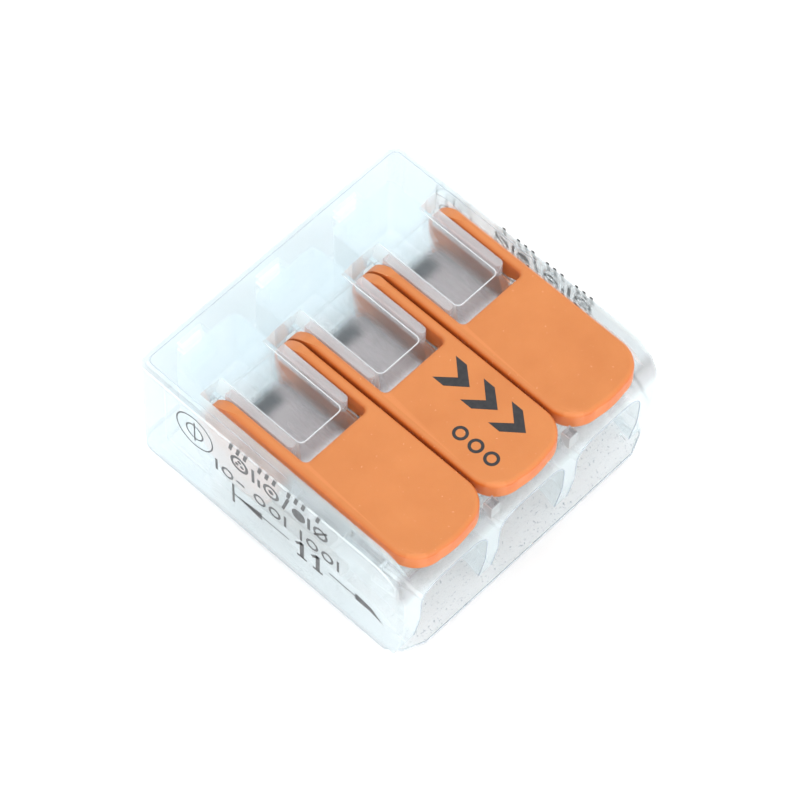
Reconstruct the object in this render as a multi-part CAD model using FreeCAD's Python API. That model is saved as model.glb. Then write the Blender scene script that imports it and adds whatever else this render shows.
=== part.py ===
"""Three-pole lever wire connector, in millimetres.

X runs across the poles, -Y is the wire-entry side where the lever tips lie, +Z is up.
The origin is the centre of the connector's box at its base.
"""
import FreeCAD
import Part
import math
import os

Vec = FreeCAD.Vector

# overall size
WIDTH = 18.7
DEPTH = 18.6
POLE_PITCH = 5.6
POLES = {"left": -POLE_PITCH, "middle": 0.0, "right": POLE_PITCH}
POLE_BORDERS = (-POLE_PITCH / 2, POLE_PITCH / 2)

HALF_W = WIDTH / 2
REAR_Y = DEPTH / 2
FRONT_Y = -DEPTH / 2

# housing shell
SHELL_TOP = 8.0
SHELL_FOOT = 0.65
NOSE_Y = -9.24
CHIN = (-9.14, 3.0)
SHELL_FRONT_FOOT = -8.72
EDGE_R = 0.45
CORNER_R = 0.8
NOSE_R = 2.2
WALL = 0.88
INNER_X = HALF_W - WALL
TRAY_FLOOR = 7.15
TRAY_END = -1.0
DIVIDER = 0.9
POST_W = 0.62
POST_TOP = 7.85
POST_BACK = -8.65
MOUTH_CEILING = 5.7
MOUTH_CORNER = 1.25
THROAT_CEILING = 5.05
CHAMBER_X = 2.15
CHAMBER_FRONT = -4.2
CHAMBER_BACK = 5.2
CHAMBER_CEILING = 6.45
WINDOW_CEILING = 6.85
RIB_FOOT = 1.85
POCKET_X = 2.2
POCKET_BACK = 8.2
POCKET_CEILING = 7.0
POCKET_CORNER_R = 0.5
PAD_FOOT_X = 2.0
PAD_TOP_X = 1.47
PAD_FRONT = -0.1
PAD_CORNER = 0.3
PROBE_SLOT = (1.8, 1.2)
PROBE_Z = 4.6
PROBE_CORNER_R = 0.25
POST_EDGE_R = 0.15
STOP_GAP = 0.04

# base cover
LIP_Y = FRONT_Y
PLATE_BEVEL = 0.3
LIP_TOP = 0.35
LIP_HALF_W = 7.6
CUT_START = 1.25
CUT_KNEE = (0.55, 0.5)
PLATE_UNDER = 0.3
BLOCK_FOOT = 0.5
RAMP_BACK = -6.5
RAMP_TOP = 1.77
FLOOR_TOP = 0.95
THROAT_BACK = -4.3
THROAT_TOP = 5.0
THROAT_HALF = 2.32
WIRE_Z = 3.27
WIRE_BORE_R = 1.5
LEAD_IN_R = 2.25
LEAD_IN_DEPTH = 0.8
SEAM_GAP = 0.03

# busbar
BAR_TOP = 1.75
BAR_HALF_W = 7.8
BAR_FRONT = -2.6
BAR_BACK = 5.0
BAR_RIDGE = 0.12
BAR_RIDGE_Y = 2.75
BAR_RIDGE_R = 0.35
BAR_RIDGE_HALF_W = 1.6
BAR_CORNER_R = 0.5
HOOK_GAP = 0.02

# clamping springs
STRIP = 0.3
LEG_W = 1.4
BEND_Y = -1.3
BEND_Z = 5.3
BEND_R = 1.0
BEND_END = 215.0
LEG_START = 226.0
ROOT_LENGTH = 0.5
REAR_LEG_Y = 4.35
REAR_BEND_R = 0.9
HOOK_HALF_W = 0.9
TONGUE_HALF_W = 1.15
TONGUE_TIP_Y = 2.8
TONGUE_TIP_Z = 2.03
FINGER_INNER = 1.5
FINGER_OUTER = 2.0
FINGER_LENGTH = 3.55
FINGER_RISE = 2.2

# levers
LEVER_TOP = 8.3
TONGUE_UNDER = 7.25
LEVER_HALF_W = 2.72
ARM_KNEE = (0.6, 6.6)
WINDOW_CORNER_R = 0.3
ARM_INNER = 2.15
LEVER_TIP = -9.26
TOP_ROUND = 0.25
TIP_CORNER = 1.7
TIP_CROWN = 0.1
WINDOW_FRONT = -1.1
PIVOT_Y = 2.3
PIVOT_Z = 5.1
DISC_R = 2.2
HEEL_Y = 3.0
HEEL_R = 2.38
DRIVER_ORBIT = 1.05
DRIVER_LEAD = 8.0
DRIVER_R = 0.3
RUNNING_GAP = 0.05
SWING_GAP = 0.08
SLOT_HALF_W = POLE_PITCH / 2 - ARM_INNER + SWING_GAP


def box(x0, x1, y0, y1, z0, z1):
    """A box from its lowest to its highest corner."""
    return Part.makeBox(x1 - x0, y1 - y0, z1 - z0, Vec(x0, y0, z0))


def wire_yz(corners, x):
    """A closed wire at one x, from (y, z) corners."""
    points = [Vec(x, y, z) for y, z in corners]
    return Part.makePolygon(points + [points[0]])


def slab_yz(points, x0, x1):
    """A flat-sided slab with the outline points in (y, z), from x0 to x1."""
    return Part.Face(wire_yz(points, x0)).extrude(Vec(x1 - x0, 0, 0))


def rod_x(y, z, radius, x0, x1):
    """A round bar along X."""
    return Part.makeCylinder(radius, x1 - x0, Vec(x0, y, z), Vec(1, 0, 0))


def line(a, b, x):
    return Part.LineSegment(Vec(x, *a), Vec(x, *b)).toShape()


def arc(a, mid, b, x):
    return Part.Arc(Vec(x, *a), Vec(x, *mid), Vec(x, *b)).toShape()


def polar(centre, radius, degrees):
    """The (y, z) point at an angle from +Y towards +Z."""
    angle = math.radians(degrees)
    return (centre[0] + radius * math.cos(angle), centre[1] + radius * math.sin(angle))


def fuse_all(shapes):
    whole = shapes[0]
    for shape in shapes[1:]:
        whole = whole.fuse(shape)
    return whole.removeSplitter()


def fillet_where(shape, radius, chosen):
    """Round the edges whose ends' box passes the test."""
    edges = [edge for edge in shape.Edges if chosen(edge.BoundBox)]
    return shape.makeFillet(radius, edges)


def ramp_z(y):
    """Height of the wire-entry ramp at y."""
    slope = (RAMP_TOP - LIP_TOP) / (RAMP_BACK - LIP_Y)
    return LIP_TOP + slope * (y - LIP_Y)


# ---- housing shell ----

def shell_envelope():
    """The shell's outside: a block with a rounded nose over the wire entries."""
    x = -HALF_W
    nose = (NOSE_Y + NOSE_R, SHELL_TOP - NOSE_R)
    foot_back = (REAR_Y, SHELL_FOOT)
    top_back = (REAR_Y, SHELL_TOP)
    nose_top = (nose[0], SHELL_TOP)
    nose_front = (NOSE_Y, nose[1])
    foot_front = (SHELL_FRONT_FOOT, SHELL_FOOT)
    edges = [
        line(foot_back, top_back, x),
        line(top_back, nose_top, x),
        arc(nose_top, polar(nose, NOSE_R, 135), nose_front, x),
        line(nose_front, CHIN, x),
        line(CHIN, foot_front, x),
        line(foot_front, foot_back, x),
    ]
    block = Part.Face(Part.Wire(edges)).extrude(Vec(WIDTH, 0, 0))
    block = fillet_where(block, CORNER_R, lambda b: b.ZLength > 6 and b.YMin > REAR_Y - 0.1)
    return fillet_where(
        block, EDGE_R,
        lambda b: b.ZMin > SHELL_TOP - 0.01 and (b.YMin > 8 or b.XLength < 0.01)
        or (b.XLength < 0.01 and b.ZMin > 2.9 and b.YMax < -6.8 and b.ZLength > 1),
    )


def lever_tray():
    """The open tray that the lever tongues lie in."""
    return box(-INNER_X, INNER_X, FRONT_Y - 1, TRAY_END, TRAY_FLOOR, SHELL_TOP + 1)


def swing_outline(x0, x1):
    """The room a lever's arms, discs and heels turn in, between two x planes."""
    pivot = (PIVOT_Y, PIVOT_Z)
    orbit = math.hypot(HEEL_Y - PIVOT_Y, LEVER_TOP - HEEL_R - PIVOT_Z)
    lead = math.degrees(math.atan2(LEVER_TOP - HEEL_R - PIVOT_Z, HEEL_Y - PIVOT_Y))
    reach = orbit + HEEL_R + SWING_GAP
    seat = DISC_R + RUNNING_GAP
    stop_y = PIVOT_Y + LEVER_TOP - PIVOT_Z + STOP_GAP
    discs = rod_x(*pivot, seat, x0, x1)
    open_heel = rod_x(*polar(pivot, orbit, lead - 90), HEEL_R + SWING_GAP, x0, x1)
    low, high = polar(pivot, reach, lead - 90), polar(pivot, reach, 60)
    sector = Part.Wire([
        line(pivot, low, x0),
        arc(low, polar(pivot, reach, 0), high, x0),
        line(high, pivot, x0),
    ])
    heel = Part.Face(sector).extrude(Vec(x1 - x0, 0, 0))
    slot = box(x0, x1, TRAY_END, stop_y, PIVOT_Z, SHELL_TOP + 1)
    return fuse_all([discs, open_heel, heel, slot])


def arch(x, y, half, foot, crown, corner):
    """An upright arch outline at one y: flat at the foot, rounded at the crown."""
    left, right = x - half, x + half
    turn = corner * (1 - math.sqrt(0.5))

    def seg(a, b):
        return Part.LineSegment(Vec(a[0], y, a[1]), Vec(b[0], y, b[1])).toShape()

    def bow(a, m, b):
        return Part.Arc(Vec(a[0], y, a[1]), Vec(m[0], y, m[1]), Vec(b[0], y, b[1])).toShape()

    return Part.Wire([
        seg((left, foot), (right, foot)),
        seg((right, foot), (right, crown - corner)),
        bow((right, crown - corner), (right - turn, crown - turn), (right - corner, crown)),
        seg((right - corner, crown), (left + corner, crown)),
        bow((left + corner, crown), (left + turn, crown - turn), (left, crown - corner)),
        seg((left, crown - corner), (left, foot)),
    ])


def wire_mouth(x):
    """The funnel that leads a wire in, narrowing towards the throat."""
    half = (POLE_PITCH - DIVIDER) / 2
    front = arch(x, LIP_Y - 0.6, half, -0.5, MOUTH_CEILING + 0.2, MOUTH_CORNER)
    back = arch(x, RAMP_BACK, half, -0.5, THROAT_CEILING, MOUTH_CORNER * 0.6)
    return Part.makeLoft([front, back], True, True)


def under_ramp():
    """Everything the base cover's ramp and plate take from the shell's front."""
    return slab_yz(
        [(LIP_Y - 1, -1), (CHAMBER_FRONT, -1), (CHAMBER_FRONT, RAMP_TOP + SEAM_GAP),
         (RAMP_BACK, RAMP_TOP + SEAM_GAP), (LIP_Y - 1, ramp_z(LIP_Y - 1) + SEAM_GAP)],
        -INNER_X, INNER_X)


def pole_chamber(x):
    """The room for one spring, its throat block and the pocket behind it."""
    half = (POLE_PITCH - DIVIDER) / 2
    rooms = [
        box(x - half, x + half, RAMP_BACK - 0.01, CHAMBER_FRONT, -1, THROAT_CEILING),
        box(x - CHAMBER_X, x + CHAMBER_X, CHAMBER_FRONT - 0.01, CHAMBER_BACK, -1, CHAMBER_CEILING),
        box(x - CHAMBER_X, x + CHAMBER_X, TRAY_END + 0.2, CHAMBER_BACK, 3, WINDOW_CEILING),
    ]
    pocket = box(x - POCKET_X, x + POCKET_X, CHAMBER_BACK - 0.01, POCKET_BACK, -1, POCKET_CEILING)
    pocket = fillet_where(pocket, POCKET_CORNER_R, lambda b: b.ZLength > 5 and b.YMin > CHAMBER_BACK + 1)
    return fuse_all(rooms + [pocket])


def pad_bevel(x):
    """What is cut away round a window pad so that its front and sides slope."""
    foot_y = TRAY_END + 0.05
    back = REAR_Y - 1

    def frame(half, front, z):
        return Part.makePolygon([Vec(x - half, front, z), Vec(x + half, front, z),
                                 Vec(x + half, back, z), Vec(x - half, back, z),
                                 Vec(x - half, front, z)])

    pad = Part.makeLoft([frame(PAD_FOOT_X, foot_y, WINDOW_CEILING - 0.02),
                         frame(PAD_TOP_X, PAD_FRONT, SHELL_TOP + 0.001)], True, True)
    pad = fillet_where(pad, PAD_CORNER, lambda b: b.ZLength > 0.5 and b.YMax < 0)
    around = box(x - CHAMBER_X, x + CHAMBER_X, TRAY_END - 0.01, BAR_BACK + 0.5, TRAY_FLOOR, SHELL_TOP + 1)
    return around.cut(pad).cut(box(x - PAD_TOP_X, x + PAD_TOP_X, PAD_FRONT, back, SHELL_TOP, SHELL_TOP + 2))


def probe_slot(x):
    """The test-probe slot through the rear wall."""
    half, tall = PROBE_SLOT[0] / 2, PROBE_SLOT[1]
    slot = box(x - half, x + half, POCKET_BACK - 0.5, REAR_Y + 1, PROBE_Z, PROBE_Z + tall)
    return fillet_where(slot, PROBE_CORNER_R, lambda b: b.YLength > 1)


def tip_post(x):
    """The small post between two lever tips."""
    post = box(x - POST_W / 2, x + POST_W / 2, NOSE_Y + 0.02, POST_BACK, TRAY_FLOOR - 0.3, POST_TOP)
    return fillet_where(post, POST_EDGE_R, lambda b: b.ZMin > POST_TOP - 0.01)


def housing_shell():
    """Clear shell: walls, dividers, lever tray, window pads and disc cradles."""
    shell = shell_envelope().cut(lever_tray())
    shell = shell.fuse([tip_post(x) for x in POLE_BORDERS])
    inside = [under_ramp()]
    inside.append(box(-INNER_X, INNER_X, CHAMBER_FRONT - 0.01, BAR_BACK + 0.1, -1, RIB_FOOT))
    inside.append(box(-INNER_X, INNER_X, CHAMBER_FRONT, POCKET_BACK, -1, FLOOR_TOP + SEAM_GAP))
    for x in POLES.values():
        inside += [wire_mouth(x), pole_chamber(x), pad_bevel(x), probe_slot(x)]
    for x in POLE_BORDERS:
        inside.append(swing_outline(x - SLOT_HALF_W, x + SLOT_HALF_W))
    inside.append(swing_outline(-INNER_X, -POLE_PITCH - ARM_INNER + SWING_GAP))
    inside.append(swing_outline(POLE_PITCH + ARM_INNER - SWING_GAP, INNER_X))
    for cutter in inside:
        shell = shell.cut(cutter)
    return shell.removeSplitter()


# ---- base cover ----

def plate_outline(inset, z):
    """The cover's outline at one height: round rear corners, front corners cut back."""
    side, back, lip = HALF_W - inset, REAR_Y - inset, LIP_Y + inset * 0.4
    radius = CORNER_R - inset * 0.5
    turn = radius * (1 - math.sqrt(0.5))
    cut_x, cut_y, cut_start = side - CUT_KNEE[0], lip + CUT_KNEE[1], lip + CUT_START

    def seg(a, b):
        return Part.LineSegment(Vec(*a, z), Vec(*b, z)).toShape()

    def corner(sign):
        start, middle = (sign * side, back - radius), (sign * (side - turn), back - turn)
        end = (sign * (side - radius), back)
        return [Vec(*point, z) for point in (start, middle, end)[::sign]]

    return Part.Wire([
        seg((-side, cut_start), (-cut_x, cut_y)),
        seg((-cut_x, cut_y), (-LIP_HALF_W, lip)),
        seg((-LIP_HALF_W, lip), (LIP_HALF_W, lip)),
        seg((LIP_HALF_W, lip), (cut_x, cut_y)),
        seg((cut_x, cut_y), (side, cut_start)),
        seg((side, cut_start), (side, back - radius)),
        Part.Arc(*corner(1)).toShape(),
        seg((side - radius, back), (radius - side, back)),
        Part.Arc(*corner(-1)).toShape(),
        seg((-side, back - radius), (-side, cut_start)),
    ])


def base_plate():
    """The bottom plate, bevelled below, with its front edge cut to the ramp."""
    rim = Part.Face(plate_outline(0, PLATE_BEVEL)).extrude(Vec(0, 0, SHELL_FOOT - PLATE_BEVEL))
    bevel = Part.makeLoft([plate_outline(PLATE_BEVEL, 0), plate_outline(0, PLATE_BEVEL)], True, True)
    plate = fuse_all([rim, bevel])
    front = LIP_Y - 1
    above_ramp = slab_yz([(front, ramp_z(front)), (RAMP_BACK, RAMP_TOP), (front, RAMP_TOP)],
                         -HALF_W - 1, HALF_W + 1)
    return plate.cut(above_ramp)


def throat_block(x):
    """The block behind one funnel that the wire passes through."""
    return box(x - THROAT_HALF, x + THROAT_HALF, RAMP_BACK + 0.01, THROAT_BACK, BLOCK_FOOT, THROAT_TOP)


def wire_bore(x):
    """The round hole for one wire, with its flared lead-in."""
    inward = Vec(0, 1, 0)
    bore = Part.makeCylinder(WIRE_BORE_R, 4, Vec(x, RAMP_BACK - 1, WIRE_Z), inward)
    face = Vec(x, RAMP_BACK + 0.01, WIRE_Z)
    return bore.fuse(Part.makeCone(LEAD_IN_R, WIRE_BORE_R, LEAD_IN_DEPTH, face, inward))


def ramp_slab(front, side):
    """The wire-entry ramp and the flat behind it, from one front line, to one side."""
    return slab_yz([(front, PLATE_UNDER), (front, ramp_z(front)), (RAMP_BACK, RAMP_TOP),
                    (THROAT_BACK, RAMP_TOP), (THROAT_BACK, PLATE_UNDER)], -side, side)


def base_cover():
    """Clear cover: bottom plate, wire-entry ramp and the three throat blocks."""
    side = INNER_X - 0.05
    floor = box(-side, side, THROAT_BACK - 0.5, POCKET_BACK - 0.05, PLATE_UNDER, FLOOR_TOP)
    ramps = [ramp_slab(LIP_Y + 0.4, side - 0.6), ramp_slab(LIP_Y + 1.1, side)]
    blocks = [throat_block(x) for x in POLES.values()]
    cover = fuse_all([base_plate()] + ramps + [floor] + blocks)
    for x in POLES.values():
        cover = cover.cut(wire_bore(x))
    return cover


# ---- busbar ----

def busbar():
    """Tinned copper bar with a contact ridge and a hook slot for each spring."""
    bar = box(-BAR_HALF_W, BAR_HALF_W, BAR_FRONT, BAR_BACK, FLOOR_TOP, BAR_TOP)
    bar = fillet_where(bar, BAR_CORNER_R, lambda b: b.XLength < 0.01 and b.YLength < 0.01)
    ridge_z = BAR_TOP - BAR_RIDGE_R + BAR_RIDGE
    slot_front, slot_back = REAR_LEG_Y - STRIP - HOOK_GAP, REAR_LEG_Y + HOOK_GAP
    half_slot = HOOK_HALF_W + HOOK_GAP
    for x in POLES.values():
        ridge = rod_x(BAR_RIDGE_Y, ridge_z, BAR_RIDGE_R, x - BAR_RIDGE_HALF_W, x + BAR_RIDGE_HALF_W)
        bar = bar.fuse(ridge)
        bar = bar.cut(box(x - half_slot, x + half_slot, slot_front, slot_back, 0, BAR_TOP + 1))
    return bar.removeSplitter()


# ---- clamping springs ----

def bend(centre, radius, start, end, x):
    """A round bend in a strip, between two angles from +Y towards +Z."""
    middle = (start + end) / 2
    return arc(polar(centre, radius, start), polar(centre, radius, middle), polar(centre, radius, end), x)


def spring_frame(x):
    """The still part of one clamping spring: hook, rear leg, top leg and front bend."""
    front = (BEND_Y, BEND_Z)
    rear = (REAR_LEG_Y - REAR_BEND_R, BEND_Z + BEND_R - REAR_BEND_R)
    side = x - LEG_W
    inner, rear_inner = BEND_R - STRIP, REAR_BEND_R - STRIP
    foot_out, foot_in = (REAR_LEG_Y, BAR_TOP), (REAR_LEG_Y - STRIP, BAR_TOP)
    edges = [
        bend(front, BEND_R, BEND_END, 90, side),
        line(polar(front, BEND_R, 90), polar(rear, REAR_BEND_R, 90), side),
        bend(rear, REAR_BEND_R, 90, 0, side),
        line(polar(rear, REAR_BEND_R, 0), foot_out, side),
        line(foot_out, foot_in, side),
        line(foot_in, polar(rear, rear_inner, 0), side),
        bend(rear, rear_inner, 0, 90, side),
        line(polar(rear, rear_inner, 90), polar(front, inner, 90), side),
        bend(front, inner, 90, BEND_END, side),
        line(polar(front, inner, BEND_END), polar(front, BEND_R, BEND_END), side),
    ]
    strip = Part.Face(Part.Wire(edges)).extrude(Vec(2 * LEG_W, 0, 0))
    foot = box(x - HOOK_HALF_W, x + HOOK_HALF_W, foot_in[0], foot_out[0],
               FLOOR_TOP + HOOK_GAP, BAR_TOP + 0.2)
    return fuse_all([strip, foot])


def leg_root(x):
    """The start of a spring's moving leg: the end of the bend and a flat web."""
    front = (BEND_Y, BEND_Z)
    side = x - FINGER_OUTER
    inner = BEND_R - STRIP
    web_y = BEND_Y + ROOT_LENGTH
    low, high = (web_y, BEND_Z - BEND_R), (web_y, BEND_Z - inner)
    edges = [
        bend(front, BEND_R, LEG_START, 270, side),
        line(polar(front, BEND_R, 270), low, side),
        line(low, high, side),
        line(high, polar(front, inner, 270), side),
        bend(front, inner, 270, LEG_START, side),
        line(polar(front, inner, LEG_START), polar(front, BEND_R, LEG_START), side),
    ]
    return Part.Face(Part.Wire(edges)).extrude(Vec(2 * FINGER_OUTER, 0, 0))


def spring_leg(x):
    """The moving leg: a root at the bend, the clamping tongue and two lever fingers."""
    web_z = BEND_Z - BEND_R
    start = (BEND_Y + ROOT_LENGTH - 0.05, web_z)
    run, drop = TONGUE_TIP_Y - start[0], TONGUE_TIP_Z - start[1]
    slope, length = math.degrees(math.atan2(drop, run)), math.hypot(run, drop)
    pieces = [leg_root(x), sloped_strip(start, slope, length, -TONGUE_HALF_W, TONGUE_HALF_W, x)]
    finger_start = (BEND_Y + 0.3, web_z)
    for low, high in ((-FINGER_OUTER, -FINGER_INNER), (FINGER_INNER, FINGER_OUTER)):
        pieces.append(sloped_strip(finger_start, FINGER_RISE, FINGER_LENGTH - 0.3, low, high, x))
    return fuse_all(pieces)


def sloped_strip(start, degrees, length, low, high, x):
    """A straight strip whose lower face starts at a point and runs at a slope."""
    end = polar(start, length, degrees)
    up = polar((0, 0), STRIP, degrees + 90)
    outline = [start, end, (end[0] + up[0], end[1] + up[1]), (start[0] + up[0], start[1] + up[1])]
    return slab_yz(outline, x + low, x + high)


# ---- levers ----

def lever_side(x0, x1):
    """The lever seen from the side: tongue, arm, bearing disc and rounded heel."""
    heel_z = LEVER_TOP - HEEL_R
    bar = box(x0, x1, LEVER_TIP - 0.2, HEEL_Y, TONGUE_UNDER, LEVER_TOP)
    web = slab_yz([(WINDOW_FRONT + 0.3, TONGUE_UNDER), ARM_KNEE, (PIVOT_Y, PIVOT_Z), (HEEL_Y, heel_z),
                   (HEEL_Y, LEVER_TOP), (WINDOW_FRONT + 0.3, LEVER_TOP)], x0, x1)
    disc = rod_x(PIVOT_Y, PIVOT_Z, DISC_R, x0, x1)
    heel = rod_x(HEEL_Y, heel_z, HEEL_R, x0, x1)
    return fuse_all([bar, web, disc, heel])


def lever_plan(x):
    """The lever from above, rounded along its top edges: broad tip, window, two arms."""
    left, right = x - LEVER_HALF_W, x + LEVER_HALF_W
    edge_y = LEVER_TIP + TIP_CROWN
    corner_y = edge_y + TIP_CORNER
    turn = TIP_CORNER * (1 - math.sqrt(0.5))
    rear_y = HEEL_Y + HEEL_R + 2

    inner_left, inner_right = left + TIP_CORNER, right - TIP_CORNER

    def seg(*ends):
        return Part.LineSegment(*[Vec(px, py, 0) for px, py in ends]).toShape()

    def bow(*points):
        return Part.Arc(*[Vec(px, py, 0) for px, py in points]).toShape()

    outline = Part.Wire([
        seg((left, rear_y), (left, corner_y)),
        bow((left, corner_y), (left + turn, edge_y + turn), (inner_left, edge_y)),
        bow((inner_left, edge_y), (x, LEVER_TIP), (inner_right, edge_y)),
        bow((inner_right, edge_y), (right - turn, edge_y + turn), (right, corner_y)),
        seg((right, corner_y), (right, rear_y)),
        seg((right, rear_y), (left, rear_y)),
    ])
    prism = Part.Face(outline).extrude(Vec(0, 0, LEVER_TOP))
    window = box(x - ARM_INNER, x + ARM_INNER, WINDOW_FRONT, rear_y + 1, -1, LEVER_TOP + 1)
    window = fillet_where(window, WINDOW_CORNER_R, lambda b: b.ZLength > 5 and b.YMax < 0)
    return fillet_where(prism.cut(window), TOP_ROUND, lambda b: b.ZMin > LEVER_TOP - 0.01)


def lever(x):
    """One lever: tongue, two side arms and the drivers that lift the spring's fingers."""
    body = lever_side(x - LEVER_HALF_W - 1, x + LEVER_HALF_W + 1).common(lever_plan(x))
    lead = math.radians(DRIVER_LEAD)
    y = PIVOT_Y - DRIVER_ORBIT * math.sin(lead)
    z = PIVOT_Z - DRIVER_ORBIT * math.cos(lead)
    tip, root = FINGER_INNER + 0.03, ARM_INNER + 0.2
    right_driver = rod_x(y, z, DRIVER_R, x + tip, x + root)
    left_driver = rod_x(y, z, DRIVER_R, x - root, x - tip)
    return fuse_all([body, right_driver, left_driver])


def main():
    os.makedirs("parts", exist_ok=True)
    nodes = {"housing_shell": housing_shell(), "base_cover": base_cover(), "busbar": busbar()}
    for pole, x in POLES.items():
        nodes["clamp_spring_" + pole] = spring_frame(x)
        nodes["spring_leg_" + pole] = spring_leg(x)
        nodes["lever_" + pole] = lever(x)
    for name, shape in nodes.items():
        shape.exportStep("parts/" + name + ".step")
        print(name, "valid", shape.isValid(), "solids", len(shape.Solids), "mm3", round(shape.Volume, 2))


main()
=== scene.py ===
"""Three-pole lever wire connector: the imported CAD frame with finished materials, springs and printing."""

import math

import bmesh
import bpy
from mathutils import Matrix, Vector


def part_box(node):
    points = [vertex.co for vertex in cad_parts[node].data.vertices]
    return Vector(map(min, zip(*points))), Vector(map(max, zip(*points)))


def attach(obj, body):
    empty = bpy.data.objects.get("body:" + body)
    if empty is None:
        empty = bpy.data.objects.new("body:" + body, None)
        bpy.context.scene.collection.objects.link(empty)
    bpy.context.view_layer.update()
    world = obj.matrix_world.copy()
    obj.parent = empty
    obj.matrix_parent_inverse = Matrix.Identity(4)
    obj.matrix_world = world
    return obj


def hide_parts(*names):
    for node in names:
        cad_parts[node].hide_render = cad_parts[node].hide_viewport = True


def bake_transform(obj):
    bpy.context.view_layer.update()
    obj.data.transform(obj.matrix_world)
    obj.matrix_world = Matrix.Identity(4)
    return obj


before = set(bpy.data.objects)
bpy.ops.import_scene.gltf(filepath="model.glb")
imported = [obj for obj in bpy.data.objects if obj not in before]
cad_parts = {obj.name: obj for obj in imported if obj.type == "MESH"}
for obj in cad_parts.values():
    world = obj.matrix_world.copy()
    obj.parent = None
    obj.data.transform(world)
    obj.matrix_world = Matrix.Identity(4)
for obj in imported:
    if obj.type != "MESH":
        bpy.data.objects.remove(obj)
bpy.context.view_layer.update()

MM = 0.001
ROOT = "connector_housing"
POLES = {"left": -5.6, "middle": 0.0, "right": 5.6}


def corners_mm(node):
    low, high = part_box(node)
    return [c / MM for c in low], [c / MM for c in high]


# ---- node material helpers ----

class Nodes:
    """A small builder for one node material."""

    def __init__(self, name):
        self.material = bpy.data.materials.new(name)
        self.material.use_nodes = True
        self.tree = self.material.node_tree
        self.tree.nodes.clear()
        self.output = self.add("ShaderNodeOutputMaterial")
        self.coords = self.add("ShaderNodeTexCoord").outputs["Object"]

    def add(self, kind, **inputs):
        node = self.tree.nodes.new(kind)
        for key, value in inputs.items():
            node.inputs[key.replace("_", " ")].default_value = value
        return node

    def link(self, out, socket):
        self.tree.links.new(out, socket)

    def noise(self, scale, detail=3.0, stretch=(1, 1, 1), roughness=0.5):
        """Noise whose scale counts features per metre."""
        mapping = self.add("ShaderNodeMapping")
        mapping.inputs["Scale"].default_value = stretch
        self.link(self.coords, mapping.inputs["Vector"])
        noise = self.add("ShaderNodeTexNoise", Scale=scale, Detail=detail, Roughness=roughness)
        self.link(mapping.outputs["Vector"], noise.inputs["Vector"])
        return noise.outputs["Fac"]

    def ramp(self, fac, stops):
        """A colour ramp from (position, colour) stops."""
        node = self.add("ShaderNodeValToRGB")
        elements = node.color_ramp.elements
        for spare in list(elements)[1:]:
            elements.remove(spare)
        elements[0].position, elements[0].color = stops[0][0], (*stops[0][1], 1)
        for position, colour in stops[1:]:
            elements.new(position).color = (*colour, 1)
        self.link(fac, node.inputs["Fac"])
        return node.outputs["Color"]

    def spread(self, fac, low, high, start=0.3, end=0.7):
        """A number mapped from start..end to low..high."""
        node = self.add("ShaderNodeMapRange")
        for key, value in (("From Min", start), ("From Max", end), ("To Min", low), ("To Max", high)):
            node.inputs[key].default_value = value
        self.link(fac, node.inputs["Value"])
        return node.outputs["Result"]

    def mix(self, fac, a, b):
        """Two colours mixed by a number."""
        node = self.add("ShaderNodeMix")
        node.data_type = "RGBA"
        self.link(fac, node.inputs[0])
        for value, socket in ((a, node.inputs[6]), (b, node.inputs[7])):
            if isinstance(value, tuple):
                socket.default_value = (*value, 1)
            else:
                self.link(value, socket)
        return node.outputs[2]

    def blend_shaders(self, fac, a, b):
        """Two shader nodes mixed by a number or by another node's output."""
        node = self.add("ShaderNodeMixShader")
        if isinstance(fac, float):
            node.inputs[0].default_value = fac
        else:
            self.link(fac, node.inputs[0])
        self.link(a.outputs[0], node.inputs[1])
        self.link(b.outputs[0], node.inputs[2])
        return node

    def axis(self, output, index):
        """One component of a texture coordinate."""
        parts = self.add("ShaderNodeSeparateXYZ")
        self.link(self.add("ShaderNodeTexCoord").outputs[output], parts.inputs[0])
        return parts.outputs[index]

    def math(self, operation, *values):
        """An arithmetic node on numbers or other nodes' outputs."""
        node = self.add("ShaderNodeMath")
        node.operation = operation
        for value, socket in zip(values, node.inputs):
            if isinstance(value, float):
                socket.default_value = value
            else:
                self.link(value, socket)
        return node.outputs[0]

    def pole_axis(self):
        """The distance across one pole, from its own middle."""
        half = (POLES["right"] - POLES["middle"]) / 2 * MM
        return self.math("WRAP", self.axis("Object", 0), half, -half)

    def bump(self, height, strength, distance):
        node = self.add("ShaderNodeBump", Strength=strength, Distance=distance)
        self.link(height, node.inputs["Height"])
        return node.outputs["Normal"]


# where the housing's plastic changes tone, in metres along one axis: painted orange reflection on the lintel,
# painted shade on the tip posts, milkier deck
LINTEL_FRONT = (-0.0089, -0.0084)
LINTEL_FOOT = (0.0056, 0.0064)
POST_FOOT = (0.0069, 0.0072)
DECK_START = (0.0040, 0.0052)

# darkest and lightest colour that light keeps at each surface it passes
SHELL_TINTS = ((0.955, 0.982, 0.994), (0.976, 0.991, 0.998))
BASE_TINTS = ((0.986, 0.994, 0.998), (0.994, 0.998, 1.0))

# painted reflection: orange-brown tint where the orange levers show in the lintel above the wire entries
LINTEL_PAINTED_REFLECTION = (0.52, 0.40, 0.38)
# painted shade: dark tint on the tip posts in place of their dark refraction streaks
POST_PAINTED_SHADE = (0.30, 0.24, 0.25)
SPECK_TINT = (0.45, 0.50, 0.55)
DECK_TONE = (0.67, 0.84, 0.92)
GLOSS_TONE = (0.87, 0.95, 0.98)
SHADOW_TONE = (0.985, 0.993, 0.998)
PAD_SIDE_HAZE = 0.66
STRAIGHT_SHARE = 0.58
MILK_SHARE = 0.6
CLEAR_IOR = 1.25  # lower than the plastic's own, which makes the thick corners go dark


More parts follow.
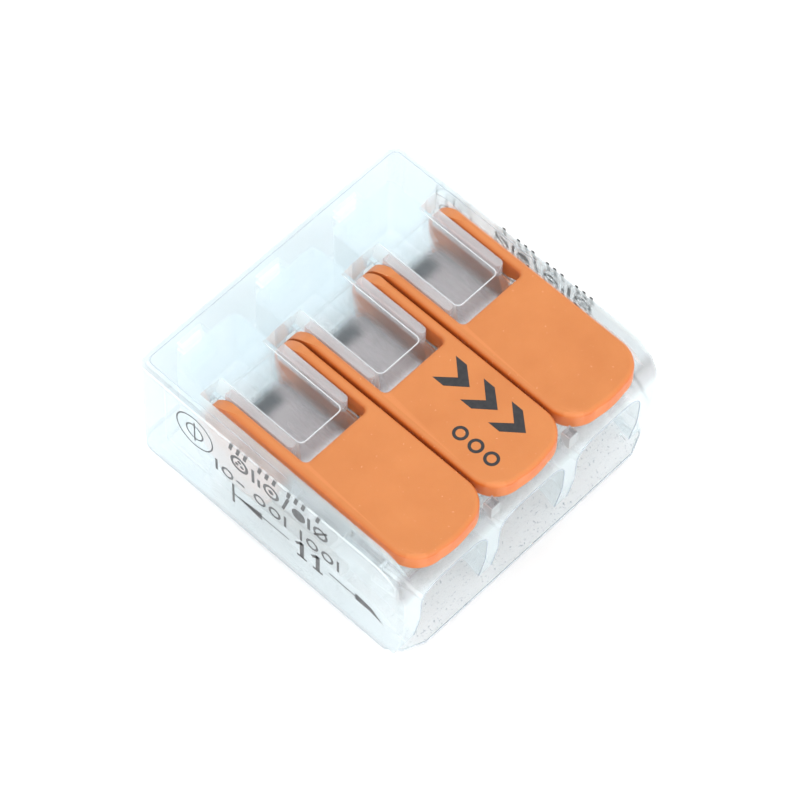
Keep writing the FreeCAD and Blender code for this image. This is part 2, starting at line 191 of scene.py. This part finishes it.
def clear_plastic(name, near=0.05, slanted=0.40, specks=0.0, painted_lintel=0.0, deck_haze=0.0,
                  tints=SHELL_TINTS, milk_tone=(0.90, 0.98, 1.0)):
    """Clear polycarbonate: faintly blue, milkier where it is seen at a slant, with slight mould waviness;
    with painted_lintel, a painted orange-brown reflection above the wire entries and painted shade on the tip
    posts.
    """
    n = Nodes(name)
    wave = n.bump(n.noise(600, 3), 0.10, 0.0002)
    tint = n.ramp(n.noise(350, 3), [(0.35, tints[0]), (0.65, tints[1])])
    if specks:
        tint = n.mix(n.spread(n.noise(6500, 1), 0, specks, 0.66, 0.72), tint, SPECK_TINT)
    if painted_lintel:
        # painted reflection of the orange levers, high on the front above the wire entries
        near_front = n.spread(n.axis("Object", 1), 1, 0, *LINTEL_FRONT)
        high = n.spread(n.axis("Object", 2), 0, painted_lintel, *LINTEL_FOOT)
        tint = n.mix(n.math("MULTIPLY", near_front, high), tint, LINTEL_PAINTED_REFLECTION)
        # painted shade, higher up on the tip posts
        post_shade_mask = n.spread(n.axis("Object", 2), 0, painted_lintel, *POST_FOOT)
        tint = n.mix(n.math("MULTIPLY", near_front, post_shade_mask), tint, POST_PAINTED_SHADE)
    body = n.add("ShaderNodeBsdfPrincipled")
    body.inputs["Transmission Weight"].default_value = 1.0
    body.inputs["IOR"].default_value = CLEAR_IOR
    n.link(tint, body.inputs["Base Color"])
    n.link(n.spread(n.noise(900, 4), 0.02, 0.07), body.inputs["Roughness"])
    n.link(wave, body.inputs["Normal"])
    straight = n.add("ShaderNodeBsdfTransparent")
    n.link(tint, straight.inputs["Color"])
    clear = n.blend_shaders(STRAIGHT_SHARE, body, straight)
    gloss = n.add("ShaderNodeBsdfGlossy")
    gloss.inputs["Color"].default_value = (*GLOSS_TONE, 1)
    n.link(n.spread(n.noise(900, 4), 0.08, 0.20), gloss.inputs["Roughness"])
    n.link(wave, gloss.inputs["Normal"])
    milk = n.add("ShaderNodeBsdfDiffuse")
    milk.inputs["Color"].default_value = (*milk_tone, 1)
    slant = n.add("ShaderNodeLayerWeight", Blend=0.5)
    n.link(wave, slant.inputs["Normal"])
    haze = n.spread(slant.outputs["Facing"], near, slanted, 0.12, 0.68)
    sideways = n.math("ABSOLUTE", n.axis("Normal", 0))
    sloped = n.ramp(n.axis("Normal", 2),
                    [(0.28, (0, 0, 0)), (0.34, (1, 1, 1)), (0.50, (1, 1, 1)), (0.58, (0, 0, 0))])
    pad_side = n.mix(n.spread(sideways, 0, 1, 0.78, 0.86), (0.0, 0.0, 0.0), sloped)
    haze = n.mix(pad_side, haze, (PAD_SIDE_HAZE,) * 3)
    if deck_haze:
        level = n.spread(n.axis("Normal", 2), 0, 1, 0.85, 0.95)
        deck = n.math("MULTIPLY", level, n.spread(n.axis("Object", 1), 0, 1, *DECK_START))
        n.link(n.mix(deck, milk_tone, DECK_TONE), milk.inputs["Color"])
        haze = n.mix(n.math("MULTIPLY", deck, deck_haze), haze, (1.0, 1.0, 1.0))
    skin = n.blend_shaders(haze, clear, n.blend_shaders(MILK_SHARE, gloss, milk))
    lit = n.add("ShaderNodeBsdfTransparent")
    lit.inputs["Color"].default_value = (*SHADOW_TONE, 1)
    shadow_ray = n.add("ShaderNodeLightPath").outputs["Is Shadow Ray"]
    n.link(n.blend_shaders(shadow_ray, skin, lit).outputs[0], n.output.inputs["Surface"])
    return n.material


def lever_plastic():
    """Satin orange polyamide: spark-eroded grain, tiny specks, painted shade as a deeper orange on the
    flanks, and a painted highlight as a lighter orange on the sharp edges.
    """
    n = Nodes("lever_polyamide")
    shader = n.add("ShaderNodeBsdfPrincipled")
    top = n.ramp(n.noise(420, 4), [(0.3, (0.535, 0.172, 0.038)), (0.7, (0.585, 0.198, 0.049))])
    # painted shade: faces turned sideways get a deeper, darker orange than the top
    body = n.mix(n.spread(n.axis("Normal", 2), 0, 1, 0.25, 0.95), (0.56, 0.130, 0.018), top)
    specks = n.spread(n.noise(5200, 2, roughness=0.7), 0, 1, 0.70, 0.76)
    speckled = n.mix(specks, body, (0.72, 0.34, 0.17))
    # painted highlight: sharp edges are lightened by their pointiness
    edges = n.add("ShaderNodeNewGeometry").outputs["Pointiness"]
    edge_highlight = n.mix(n.spread(edges, 0, 0.4, 0.53, 0.60), speckled, (0.68, 0.24, 0.075))
    n.link(edge_highlight, shader.inputs["Base Color"])
    n.link(n.spread(n.noise(2600, 4), 0.38, 0.52), shader.inputs["Roughness"])
    n.link(n.bump(n.noise(9000, 3, roughness=0.6), 0.22, 0.00003), shader.inputs["Normal"])
    shader.inputs["Subsurface Weight"].default_value = 0.06
    shader.inputs["Subsurface Radius"].default_value = (1.0, 0.35, 0.12)
    shader.inputs["Subsurface Scale"].default_value = 0.0006
    n.link(shader.outputs[0], n.output.inputs["Surface"])
    return n.material


# where a spring's bends change tone, in metres along one axis: a painted dark reflection on the rear bend and
# a painted highlight on the front bend
BEND_SHADE_SIDE = (0.0003, 0.0008)
BEND_SHADE_FOOT = (0.0052, 0.0057)
FRONT_BEND_END = (-0.0003, 0.0001)
REAR_BEND_PAINTED_REFLECTION = (0.018, 0.018, 0.025)
FRONT_BEND_PAINTED_HIGHLIGHT = (0.74, 0.69, 0.70)


def metal(name, dark, light, low, high, stretch, scratch, painted_bend=None):
    """Rolled metal: colour drift, fine lines along the strip, uneven gloss, and with painted_bend, a painted
    dark reflection on the rear bend and a painted highlight on the front bend.
    """
    n = Nodes(name)
    shader = n.add("ShaderNodeBsdfPrincipled")
    shader.inputs["Metallic"].default_value = 1.0
    colour = n.ramp(n.noise(500, 4), [(0.3, dark), (0.7, light)])
    if painted_bend:
        # painted reflection: a dark band across the rear bend, where it reflects the dark inside of the
        # housing
        along = n.axis("Object", 1)
        top = n.spread(n.axis("Object", 2), 0, 1, *BEND_SHADE_FOOT)
        side = n.spread(n.pole_axis(), 1, 0.15, *BEND_SHADE_SIDE)
        rear = n.math("MULTIPLY", n.spread(along, 0, 1, *painted_bend), side)
        colour = n.mix(n.math("MULTIPLY", rear, top), colour, REAR_BEND_PAINTED_REFLECTION)
        # painted highlight: the front bend is lightened
        colour = n.mix(n.spread(along, 1, 0, *FRONT_BEND_END), colour, FRONT_BEND_PAINTED_HIGHLIGHT)
    n.link(colour, shader.inputs["Base Color"])
    lines = n.noise(2500, 3, stretch)
    n.link(n.spread(lines, low, high), shader.inputs["Roughness"])
    n.link(n.bump(lines, scratch, 0.00002), shader.inputs["Normal"])
    n.link(shader.outputs[0], n.output.inputs["Surface"])
    return n.material


def ink(name, dark, light):
    """Printed or laser-marked ink: slightly uneven in tone and gloss."""
    n = Nodes(name)
    shader = n.add("ShaderNodeBsdfPrincipled")
    n.link(n.ramp(n.noise(3500, 4), [(0.3, dark), (0.7, light)]), shader.inputs["Base Color"])
    n.link(n.spread(n.noise(6000, 2), 0.35, 0.6), shader.inputs["Roughness"])
    n.link(n.bump(n.noise(9000, 2), 0.15, 0.00001), shader.inputs["Normal"])
    n.link(shader.outputs[0], n.output.inputs["Surface"])
    return n.material


CLEAR = clear_plastic("clear_polycarbonate", painted_lintel=0.6, deck_haze=0.26)
CLEAR_BASE = clear_plastic("clear_base_polycarbonate", 0.06, 0.22, specks=0.7, tints=BASE_TINTS)
# painted highlight: the window rims' milky white stands for the white highlight lines along the pads
RIM_PAINTED_HIGHLIGHT = clear_plastic("clear_rim_painted_highlight", 0.45, 0.70, milk_tone=(0.90, 0.91, 0.93))
# painted shade: the grey milk of the edge beads draws the dark lines that clear edges show
EDGE_SHADE_LINE = clear_plastic("clear_edge_shade_line", 0.70, 0.90, milk_tone=(0.42, 0.47, 0.53))
# painted reflection: the ledges' pinkish milk stands for the orange lever arms showing through
LEDGE_PAINTED_REFLECTION = clear_plastic("clear_ledge_painted_reflection", 0.24, 0.55, milk_tone=(0.86, 0.80, 0.82))
ORANGE = lever_plastic()
SPRING_STEEL = metal("spring_steel", (0.310, 0.258, 0.260), (0.370, 0.318, 0.320), 0.22, 0.34,
                     (1, 0.10, 0.10), 0.08, painted_bend=(0.0027, 0.0032))
TINNED_COPPER = metal("tinned_copper", (0.62, 0.59, 0.56), (0.74, 0.71, 0.68), 0.28, 0.42, (0.06, 1, 1), 0.2)
BLACK_INK = ink("lever_ink", (0.010, 0.010, 0.013), (0.022, 0.021, 0.024))
GREY_INK = ink("wall_ink", (0.075, 0.08, 0.085), (0.125, 0.13, 0.135))


def finish_node(node, material):
    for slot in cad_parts[node].material_slots:
        slot.material = material


finish_node("housing_shell", CLEAR)
finish_node("base_cover", CLEAR_BASE)
finish_node("busbar", TINNED_COPPER)
for pole in POLES:
    finish_node("lever_" + pole, ORANGE)


# ---- mesh helpers ----

CORNER_ANGLE = math.radians(40)  # corners that turn more than this are rounded
SHARP_ANGLE = math.radians(50)  # edges that turn more than this stay sharp in the shading


def new_object(name, bm, material, keep_faces=False):
    if not keep_faces:
        bmesh.ops.recalc_face_normals(bm, faces=bm.faces)
    mesh = bpy.data.meshes.new(name)
    bm.to_mesh(mesh)
    bm.free()
    mesh.materials.append(material)
    obj = bpy.data.objects.new(name, mesh)
    bpy.context.collection.objects.link(obj)
    return obj


def bake_modifiers(obj):
    """Applies an object's modifiers to its mesh."""
    graph = bpy.context.evaluated_depsgraph_get()
    mesh = bpy.data.meshes.new_from_object(obj.evaluated_get(graph))
    old = obj.data
    obj.modifiers.clear()
    obj.data = mesh
    bpy.data.meshes.remove(old)


def soften(obj, width):
    """Rounds an object's corners and shades it smooth."""
    mod = obj.modifiers.new("soften", "BEVEL")
    mod.width, mod.segments, mod.limit_method = width, 2, "ANGLE"
    mod.angle_limit = CORNER_ANGLE
    bake_modifiers(obj)
    obj.data.shade_smooth()
    obj.data.set_sharp_from_angle(angle=SHARP_ANGLE)


def arc_points(centre, radius, start, end, step=5.0):
    """(y, z) points on an arc, in degrees from +Y towards +Z."""
    count = max(2, round(abs(end - start) / step))
    angles = [math.radians(start + (end - start) * i / count) for i in range(count + 1)]
    return [(centre[0] + radius * math.cos(a), centre[1] + radius * math.sin(a)) for a in angles]


def run_points(a, b, count):
    return [(a[0] + (b[0] - a[0]) * i / count, a[1] + (b[1] - a[1]) * i / count) for i in range(1, count + 1)]


# ---- clamping springs ----

STRIP = 0.3
LEG_W = 1.4
ROOT_W = 2.0
TONGUE_W = 1.15
FINGER_IN = 1.5
HOOK_W = 0.9
BEND = (-1.3, 5.3)
BEND_R = 1.0
REAR_BEND_R = 0.9
LEG_START = 226.0
WEB_Y = -0.8
TONGUE_TIP = (2.8, 2.03)
FINGER_TIP = (2.22, 4.42)


def sheet_row(bm, x, columns, point):
    return [bm.verts.new(Vector((x + c, *point)) * MM) for c in columns]


def sheet_run(bm, x, columns, points, last):
    """Rows of faces along (y, z) points, starting from a row that is already there."""
    for point in points:
        row = sheet_row(bm, x, columns, point)
        for k in range(len(row) - 1):
            bm.faces.new((last[k], last[k + 1], row[k + 1], row[k]))
        last = row
    return last


def thicken(obj, side):
    """Gives a bent sheet the strip's thickness on one side and rounds its sheared edges."""
    mod = obj.modifiers.new("thickness", "SOLIDIFY")
    mod.thickness, mod.offset, mod.use_even_offset = STRIP * MM, side, True
    bake_modifiers(obj)
    soften(obj, 0.035 * MM)


def spring_bow(pole, x):
    """The upper leg, front bend, clamping tongue and lever fingers, as one bent strip."""
    rear_y = corners_mm("clamp_spring_" + pole)[1][1]
    top = BEND[1] + BEND_R
    rear = (rear_y - REAR_BEND_R, top - REAR_BEND_R)
    web = (WEB_Y, BEND[1] - BEND_R)
    inner = [-LEG_W, -TONGUE_W, TONGUE_W, LEG_W]
    left, right = [-ROOT_W, -FINGER_IN], [FINGER_IN, ROOT_W]
    bm = bmesh.new()
    path = arc_points(rear, REAR_BEND_R, 0, 90)
    path += run_points((rear[0], top), (BEND[0], top), 8)
    path += arc_points(BEND, BEND_R, 90, LEG_START, 4.0)[1:]
    last = sheet_run(bm, x, inner, path[1:], sheet_row(bm, x, inner, path[0]))
    last = sheet_row(bm, x, left, path[-1]) + last + sheet_row(bm, x, right, path[-1])
    root = arc_points(BEND, BEND_R, LEG_START, 270, 4.0)[1:]
    root += run_points(root[-1], web, 4)
    end = sheet_run(bm, x, left + inner + right, root, last)
    sheet_run(bm, x, [-TONGUE_W, TONGUE_W], run_points(web, TONGUE_TIP, 12), end[3:5])
    for columns, start in ((left, end[0:2]), (right, end[6:8])):
        sheet_run(bm, x, columns, run_points(web, FINGER_TIP, 8), start)
    obj = new_object("spring_bow_" + pole, bm, SPRING_STEEL, keep_faces=True)
    thicken(obj, 1)
    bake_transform(obj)
    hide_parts("spring_leg_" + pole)


def spring_foot(pole, x):
    """The rear leg and the hook that holds the spring in the busbar."""
    low, high = corners_mm("clamp_spring_" + pole)
    head = (high[1], BEND[1] + BEND_R - REAR_BEND_R)
    shoulder = (high[1], corners_mm("busbar")[1][2])
    columns = [-LEG_W, -HOOK_W, HOOK_W, LEG_W]
    bm = bmesh.new()
    end = sheet_run(bm, x, columns, run_points(head, shoulder, 6), sheet_row(bm, x, columns, head))
    sheet_run(bm, x, [-HOOK_W, HOOK_W], run_points(shoulder, (high[1], low[2]), 3), end[1:3])
    obj = new_object("spring_foot_" + pole, bm, SPRING_STEEL, keep_faces=True)
    thicken(obj, -1)
    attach(obj, ROOT)
    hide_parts("clamp_spring_" + pole)


for pole, x in POLES.items():
    spring_bow(pole, x)
    spring_foot(pole, x)


# ---- printing ----

INK = 0.012  # thickness, half of it sunk in the surface


class Print:
    """Flat marks on one surface, drawn in (u, v) millimetres and given the ink's thickness."""

    def __init__(self, place, normal):
        self.place, self.normal, self.bm = place, Vector(normal), bmesh.new()

    def prism(self, outline, hole=None):
        """A filled outline, or the band between it and a hole with as many points."""
        rings = []
        for loop in (outline, hole) if hole else (outline,):
            for side in (-0.5, 0.5):
                lift = self.normal * INK * side
                rings.append([self.bm.verts.new((Vector(self.place(u, v)) + lift) * MM) for u, v in loop])
        count = len(outline)
        for k in range(count):
            nxt = (k + 1) % count
            self.bm.faces.new((rings[0][k], rings[0][nxt], rings[1][nxt], rings[1][k]))
            if hole:
                self.bm.faces.new((rings[2][k], rings[3][k], rings[3][nxt], rings[2][nxt]))
                self.bm.faces.new((rings[1][k], rings[1][nxt], rings[3][nxt], rings[3][k]))
                self.bm.faces.new((rings[0][k], rings[2][k], rings[2][nxt], rings[0][nxt]))
        if not hole:
            self.bm.faces.new(rings[0][::-1])
            self.bm.faces.new(rings[1])

    def bar(self, u0, v0, u1, v1, width):
        """A straight stroke between two points."""
        run = Vector((u1 - u0, v1 - v0)).normalized() * width / 2
        self.prism([(u0 - run.y, v0 + run.x), (u0 + run.y, v0 - run.x),
                    (u1 + run.y, v1 - run.x), (u1 - run.y, v1 + run.x)])

    def disc(self, u, v, radius, width=None, sides=28):
        """A dot, or a ring if it has a line width."""
        def ring(r):
            turn = [2 * math.pi * k / sides for k in range(sides)]
            return [(u + r * math.cos(a), v + r * math.sin(a)) for a in turn]

        self.prism(ring(radius), ring(radius - width) if width else None)

    def finish(self, name, material, body):
        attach(new_object(name, self.bm, material), body)


def strip_gauge(ink, front):
    """The strip-length gauge: end bar, two long arrowheads, lines and the number 11."""
    ink.bar(-2.45 * front, 2.25, -2.45 * front, 4.0, 0.16)
    ink.bar(-2.37 * front, 3.10, 1.45 * front, 3.18, 0.09)
    ink.prism([(-2.33 * front, 3.12), (-0.45 * front, 2.78), (-0.45 * front, 3.42)])
    for u in (2.9 * front - 0.55, 2.9 * front + 0.55):
        ink.bar(u, 2.50, u, 3.92, 0.28)
        ink.bar(u - 0.42, 3.50, u + 0.04, 3.86, 0.20)
        ink.bar(u - 0.34, 2.50, u + 0.34, 2.50, 0.16)
    ink.bar(4.25 * front, 3.22, 6.3 * front, 3.16, 0.09)
    tip = ((6.05, 3.48), (7.15, 3.28), (7.95, 2.62), (7.0, 2.92), (6.05, 2.90))
    ink.prism([(u * front, v) for u, v in tip])


def size_row(ink, u0):
    """Conductor pictograms: stranded and solid wire ends between tick marks."""
    ink.disc(u0, 6.45, 0.62, 0.19)
    for du, dv in ((-0.18, -0.10), (0.18, -0.10), (0.0, 0.20)):
        ink.disc(u0 + du, 6.45 + dv, 0.12)
    ink.bar(u0 + 0.95, 5.85, u0 + 0.95, 7.05, 0.19)
    ink.bar(u0 + 1.35, 5.85, u0 + 1.35, 6.55, 0.19)
    ink.disc(u0 + 2.2, 6.35, 0.55, 0.18)
    ink.disc(u0 + 2.2, 6.35, 0.18)
    ink.bar(u0 + 3.0, 5.75, u0 + 3.4, 7.10, 0.18)
    ink.disc(u0 + 4.1, 6.35, 0.46)
    ink.bar(u0 + 4.8, 5.85, u0 + 4.8, 6.90, 0.19)
    ink.disc(u0 + 5.6, 6.35, 0.50, 0.17)
    ink.bar(u0 + 5.15, 5.85, u0 + 6.05, 6.85, 0.14)


def rating_row(ink, u0):
    """A finer row of bars, dashes and small rings in three groups."""
    height = 4.6
    for start, marks in ((0.0, "|o-"), (2.7, "oo|"), (5.9, "|oo|")):
        u = u0 + start
        for mark in marks:
            if mark == "|":
                ink.bar(u + 0.1, height - 0.5, u + 0.1, height + 0.5, 0.16)
                u += 0.45
            elif mark == "-":
                ink.bar(u, height, u + 0.55, height, 0.16)
                u += 0.75
            else:
                ink.disc(u + 0.42, height, 0.42, 0.15)
                u += 1.05


def edge_row(ink, u0):
    """Short slanted strokes under the wall's top edge."""
    for k in range(13):
        if k % 4 != 3:
            u = u0 + 0.5 * k
            ink.bar(u, 7.2, u + 0.14, 7.8, 0.21)


def wall_print(name, place, normal, front, row_start):
    """All the marks of one side wall, where front is +1 if u grows towards the wire entries."""
    ink = Print(place, normal)
    strip_gauge(ink, front)
    size_row(ink, row_start + 1.75)
    rating_row(ink, row_start)
    edge_row(ink, row_start + 1.1)
    centre = -5.1 * front
    ink.disc(centre, 5.95, 1.30, 0.09, 40)
    ink.disc(centre, 5.95, 0.62, 0.10)
    ink.bar(centre, 5.1, centre, 6.8, 0.09)
    ink.finish(name, GREY_INK, ROOT)


def lever_mark():
    """A bold generic mark on the middle lever: three chevrons to the wire entry, and three rings."""
    top = corners_mm("lever_middle")[1][2]
    ink = Print(lambda u, v: (v, -u, top), (0, 0, 1))
    for u in (2.1, 4.0, 5.9):
        ink.prism([(u, 0.15), (u + 0.75, 0.15), (u + 1.75, 1.0),
                   (u + 0.75, 1.85), (u, 1.85), (u + 0.95, 1.0)])
    for u in (5.35, 6.4, 7.45):
        ink.disc(u, -1.25, 0.42, 0.17)
    ink.finish("lever_pictogram", BLACK_INK, "lever_middle_body")


WALL_X, _, SHELL_TOP = corners_mm("housing_shell")[1]
wall_print("strip_gauge_print_left", lambda u, v: (-WALL_X, -u, v), (-1, 0, 0), 1, -3.7)
wall_print("strip_gauge_print_right", lambda u, v: (WALL_X, u, v), (1, 0, 0), -1, -5.6)
lever_mark()


# ---- window rims and edges ----

def corner_points(centre, radius, start):
    """A quarter turn of (x, y) points from a start angle in degrees."""
    return [(centre[0] + radius * math.cos(math.radians(start + 15 * k)),
             centre[1] + radius * math.sin(math.radians(start + 15 * k))) for k in range(7)]


def at_height(points, height):
    return [(px, py, height) for px, py in points]


def bead(name, points, radius, material, closed=False):
    """A thin round bead of plastic along (x, y, z) points."""
    curve = bpy.data.curves.new(name, "CURVE")
    curve.dimensions, curve.bevel_depth, curve.bevel_resolution = "3D", radius * MM, 3
    spline = curve.splines.new("POLY")
    spline.points.add(len(points) - 1)
    for point, place in zip(spline.points, points):
        point.co = (*[c * MM for c in place], 1)
    spline.use_cyclic_u = closed
    curve.use_fill_caps = True
    curve.materials.append(material)
    obj = bpy.data.objects.new(name, curve)
    bpy.context.collection.objects.link(obj)
    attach(obj, ROOT)


def window_rim(pole, x):
    """The thin raised line round one window pad, milky white as a painted highlight."""
    half, front, back, corner, radius = 1.47, -0.10, 5.3, 0.32, 0.038
    points = [(x - half, back)]
    points += corner_points((x - half + corner, front + corner), corner, 180)
    points += corner_points((x + half - corner, front + corner), corner, 270)
    points += [(x + half, back)]
    bead("window_rim_" + pole, at_height(points, SHELL_TOP), radius, RIM_PAINTED_HIGHLIGHT)


def foot_edge():
    """The rounded lower edge of the bottom cover, all the way round, drawn grey as a painted shade line."""
    low, high = corners_mm("base_cover")
    radius, corner, lip_half, height = 0.04, 0.8, 7.6, 0.3
    side, lip, back = high[0] - radius, low[1] + radius, high[1] - radius
    points = [(-side, lip + 1.25), (-side + 0.55, lip + 0.5), (-lip_half, lip)]
    points += [(-px, py) for px, py in points[::-1]]
    points += corner_points((side - corner, back - corner), corner, 0)
    points += corner_points((corner - side, back - corner), corner, 90)
    bead("base_foot_edge", at_height(points, height), radius, EDGE_SHADE_LINE, closed=True)


def window_ledge(pole, x):
    """The step on each side of one window pad, close to the lever's arms, pinkish as a painted reflection of
    the arms.
    """
    inner, outer, front, back, bottom, top = 1.58, 2.08, 0.02, 4.6, 7.2, 8.18
    nose = (outer - inner) / 2
    outline = [(inner, back)]
    outline += [(inner + nose + nose * math.cos(a), front + nose + nose * math.sin(a))
                for a in (math.radians(180 + 20 * k) for k in range(10))]
    outline += [(outer, back)]
    bm = bmesh.new()
    for side in (-1, 1):
        rows = [[bm.verts.new(Vector((x + side * px, py, z)) * MM) for px, py in outline]
                for z in (bottom, top)]
        for k in range(len(outline)):
            nxt = (k + 1) % len(outline)
            bm.faces.new((rows[0][k], rows[0][nxt], rows[1][nxt], rows[1][k]))
        bm.faces.new(rows[0])
        bm.faces.new(rows[1])
    obj = new_object("window_ledge_" + pole, bm, LEDGE_PAINTED_REFLECTION)
    soften(obj, 0.05 * MM)
    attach(obj, ROOT)


def deck_edge():
    """The rounded upper edge of the housing's deck, drawn grey as a painted shade line."""
    side, rear, corner, start, radius = 8.9, 8.85, 0.4, -0.9, 0.024
    points = [(side, start)] + corner_points((side - corner, rear - corner), corner, 0)
    points += corner_points((corner - side, rear - corner), corner, 90) + [(-side, start)]
    bead("deck_edge", at_height(points, SHELL_TOP - 0.02), radius, EDGE_SHADE_LINE)


def front_y(z):
    """How far forward the housing's front face is at one height."""
    foot, chin, nose = (-8.72, 0.65), (-9.14, 3.0), (-9.24, 5.8)
    low, high = (foot, chin) if z < chin[1] else (chin, nose)
    return low[0] + (high[0] - low[0]) * (z - low[1]) / (high[1] - low[1])


def mouth_edge(pole, x):
    """The moulded edge round one wire entry, drawn grey as a painted shade line."""
    half, foot, crown, corner, radius = 2.35, 0.8, 5.73, 1.15, 0.035
    side = [foot + (crown - corner - foot) * k / 6 for k in range(7)]
    outline = [(x + half, z) for z in side]
    outline += corner_points((x + half - corner, crown - corner), corner, 0)
    outline += corner_points((x - half + corner, crown - corner), corner, 90)
    outline += [(x - half, z) for z in side[::-1]]
    bead("mouth_edge_" + pole, [(px, front_y(z), z) for px, z in outline], radius, EDGE_SHADE_LINE)


foot_edge()
deck_edge()
for pole, x in POLES.items():
    window_rim(pole, x)
    window_ledge(pole, x)
    mouth_edge(pole, x)


# ---- floor, lights and camera ----

def look():
    """A pale floor, an even white surround and three soft lights."""
    bpy.ops.mesh.primitive_plane_add(size=2.0, location=(0, 0, -0.00005))
    floor = bpy.context.object
    floor.name = "studio_floor"
    n = Nodes("studio_floor")
    shader = n.add("ShaderNodeBsdfPrincipled")
    shader.inputs["Base Color"].default_value = (0.96, 0.96, 0.96, 1)
    shader.inputs["Roughness"].default_value = 0.7
    n.link(shader.outputs[0], n.output.inputs["Surface"])
    floor.data.materials.append(n.material)

    world = bpy.data.worlds.new("studio")
    bpy.context.scene.world = world
    world.use_nodes = True
    background = world.node_tree.nodes["Background"]
    background.inputs["Color"].default_value = (1.0, 1.0, 1.0, 1)
    background.inputs["Strength"].default_value = 1.17

    def softbox(name, place, size, power):
        light = bpy.data.lights.new(name, "AREA")
        light.shape, light.size, light.energy = "SQUARE", size, power
        obj = bpy.data.objects.new(name, light)
        obj.location = place
        obj.rotation_euler = (Vector((0, 0, 0)) - Vector(place)).to_track_quat("-Z", "Y").to_euler()
        bpy.context.collection.objects.link(obj)

    softbox("key_light", (-0.06, 0.05, 0.36), 0.40, 0.26)
    softbox("fill_light", (0.25, -0.12, 0.22), 0.25, 0.08)
    softbox("front_light", (-0.06, -0.26, 0.07), 0.22, 0.36)
    bpy.context.scene.view_settings.view_transform = "Standard"


def camera():
    """A long lens at the photo's viewing angle."""
    yaw, pitch, roll = math.radians(-47.21), math.radians(58.35), math.radians(1.28)
    target, distance = Vector((0, -0.0001, 0.004)), 0.219
    back = Vector((math.sin(yaw) * math.cos(pitch), -math.cos(yaw) * math.cos(pitch), math.sin(pitch)))
    right = Vector((math.cos(yaw), math.sin(yaw), 0))
    up = back.cross(right)
    right, up = (math.cos(roll) * right + math.sin(roll) * up, math.cos(roll) * up - math.sin(roll) * right)
    data = bpy.data.cameras.new("camera")
    data.sensor_width, data.lens = 36.0, 195.25
    data.clip_start, data.clip_end = 0.01, 10.0
    obj = bpy.data.objects.new("camera", data)
    turn = Matrix((right, up, back)).transposed()
    obj.matrix_world = Matrix.Translation(target + back * distance) @ turn.to_4x4()
    bpy.context.collection.objects.link(obj)
    bpy.context.scene.camera = obj


look()
camera()
